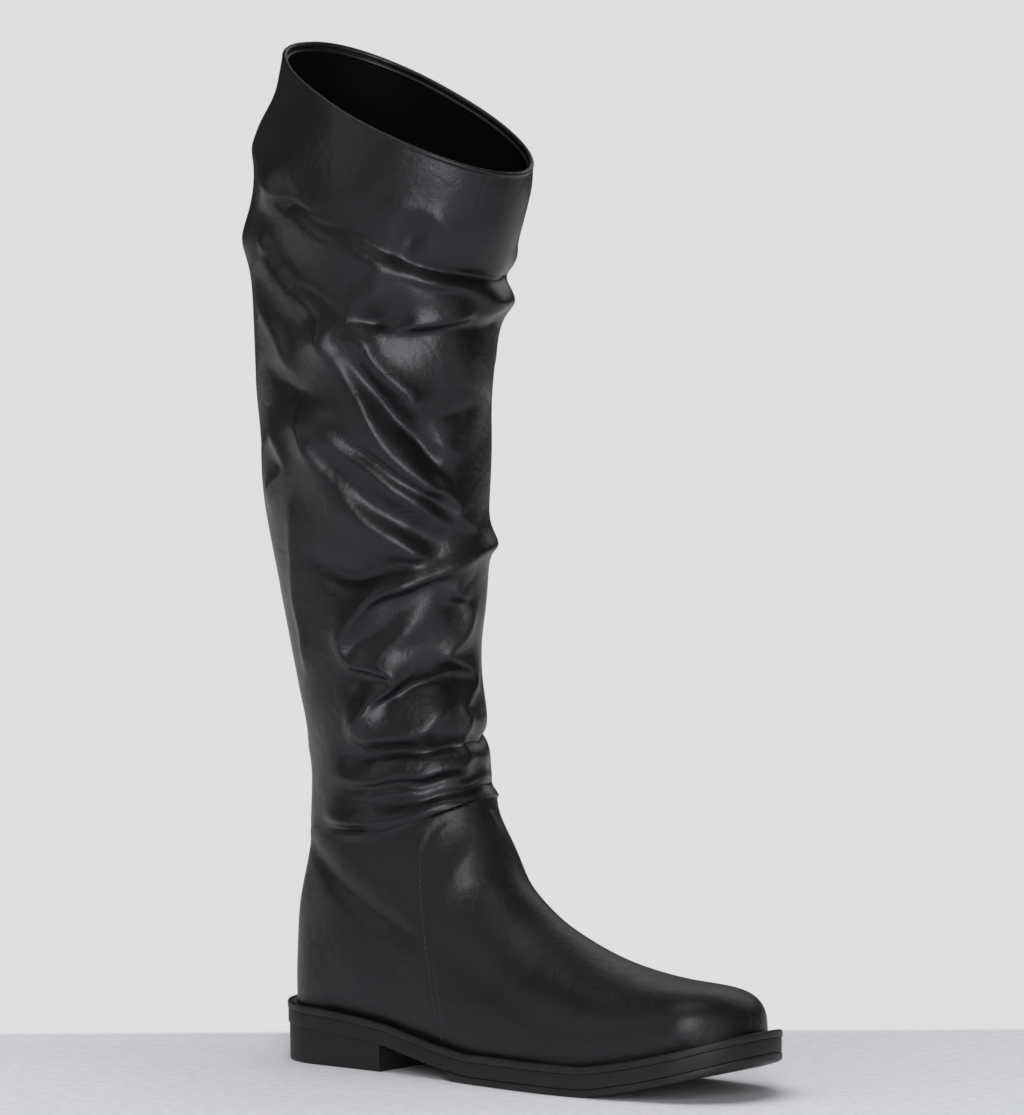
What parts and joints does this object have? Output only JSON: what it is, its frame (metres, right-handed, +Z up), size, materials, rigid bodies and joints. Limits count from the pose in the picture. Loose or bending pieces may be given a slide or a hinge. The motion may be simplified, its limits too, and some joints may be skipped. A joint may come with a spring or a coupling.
{
  "type": "tall boot",
  "caption": "Knee-high slouch boot for the right foot in smooth leather, with a rounded toe, a low block heel, a welted rubber sole and a short zip on the inner ankle.",
  "frame": {"origin": "on the floor under the middle of the heel, on the heel's underside", "axes": "+X towards the toe, +Y towards the inner side of the foot, +Z up"},
  "size_m": [0.2863, 0.1063, 0.484],
  "materials": {
    "upper_leather": "smooth, soft sheen",
    "shaft_leather": "smooth, soft sheen, slouched",
    "insole_board": "matt lining",
    "welt_rubber": "satin",
    "midsole_rubber": "matt",
    "tread_rubber": "matt",
    "heel_rubber": "matt",
    "zip_cloth": "woven tape",
    "zip_teeth": "coil",
    "slider_metal": "dark satin",
    "pull_metal": "dark satin"
  },
  "bodies": {
    "boot": {"upper": "upper_leather", "shaft": "shaft_leather", "insole": "insole_board", "welt": "welt_rubber", "midsole": "midsole_rubber", "half_sole": "tread_rubber", "heel": "heel_rubber", "zip_tape": "zip_cloth", "zip_chain": "zip_teeth", "zip_slider": "slider_metal"},
    "pull": {"zip_pull": "pull_metal"}
  },
  "joints": [
    {"name": "pull_hinge", "type": "hinge", "parent": "boot", "child": "pull", "pos_m": [0.02986, 0.03815, 0.16787], "axis": [0.9648, -0.063, 0.2554], "range_deg": [0, 150]}
  ]
}
